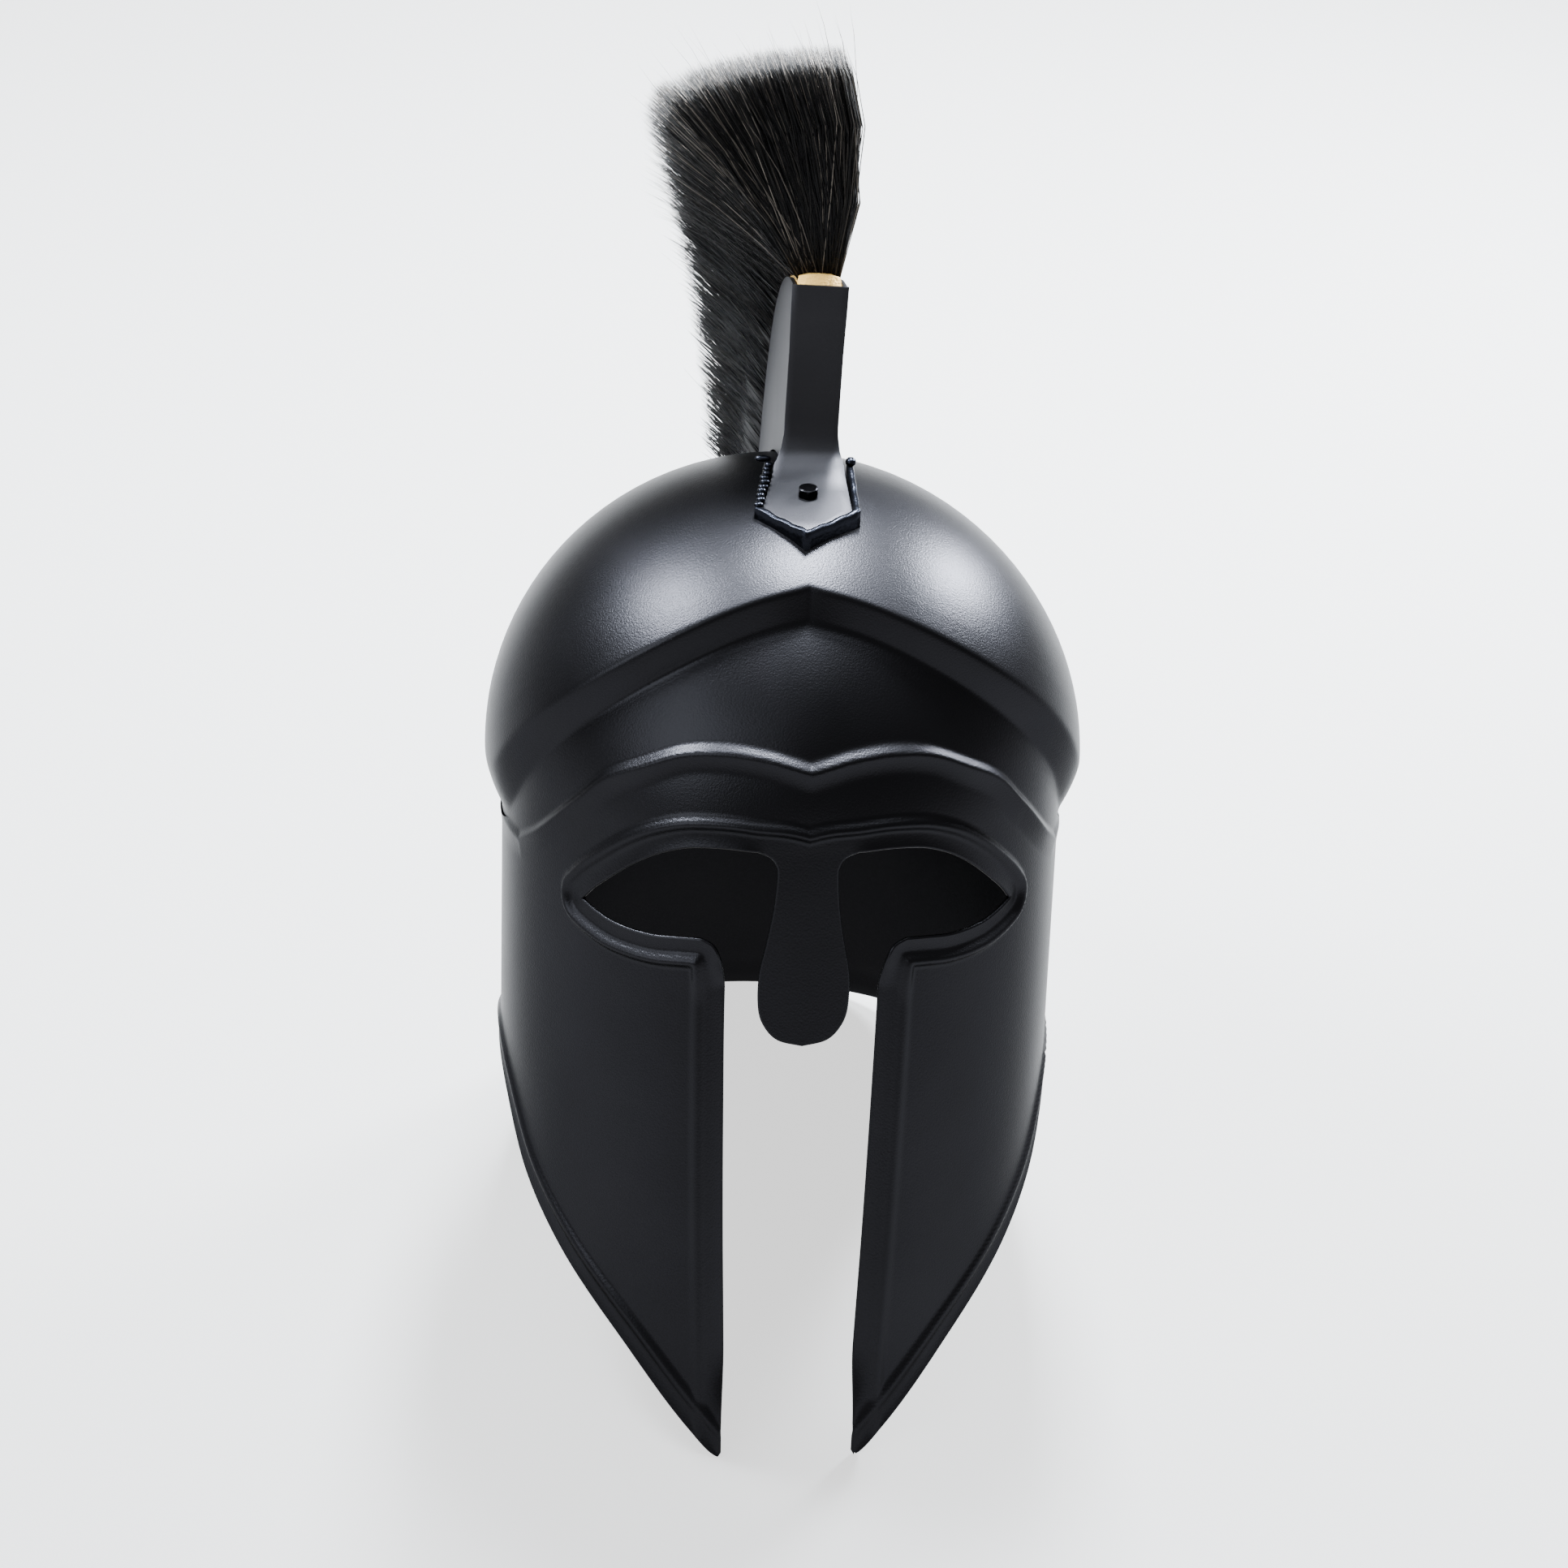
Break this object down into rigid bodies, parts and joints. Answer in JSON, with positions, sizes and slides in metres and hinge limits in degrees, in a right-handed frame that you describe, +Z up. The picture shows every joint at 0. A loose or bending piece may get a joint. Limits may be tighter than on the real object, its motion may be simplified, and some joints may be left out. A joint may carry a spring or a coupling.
{
  "type": "corinthian helmet",
  "caption": "Black Corinthian helmet with almond eye openings, a nasal, pointed cheek plates, a flared neck guard and an upright horsehair plume in a channel over the dome.",
  "frame": {"origin": "middle of the helmet's length and width, on the surface it rests on", "axes": "+X towards the wearer's left, which is the right of a front view, +Y towards the back of the helmet, +Z up from the surface it rests on"},
  "size_m": [0.219, 0.3766, 0.429],
  "materials": {
    "black_paint": "satin",
    "bolt_steel": "gloss",
    "brush_wood": "matte",
    "horsehair": "matte"
  },
  "bodies": {
    "root": {"helmet_shell": "black_paint", "crest_holder": "black_paint", "crest_bolt": "bolt_steel", "brush_core": "brush_wood", "plume": "horsehair"}
  },
  "joints": []
}
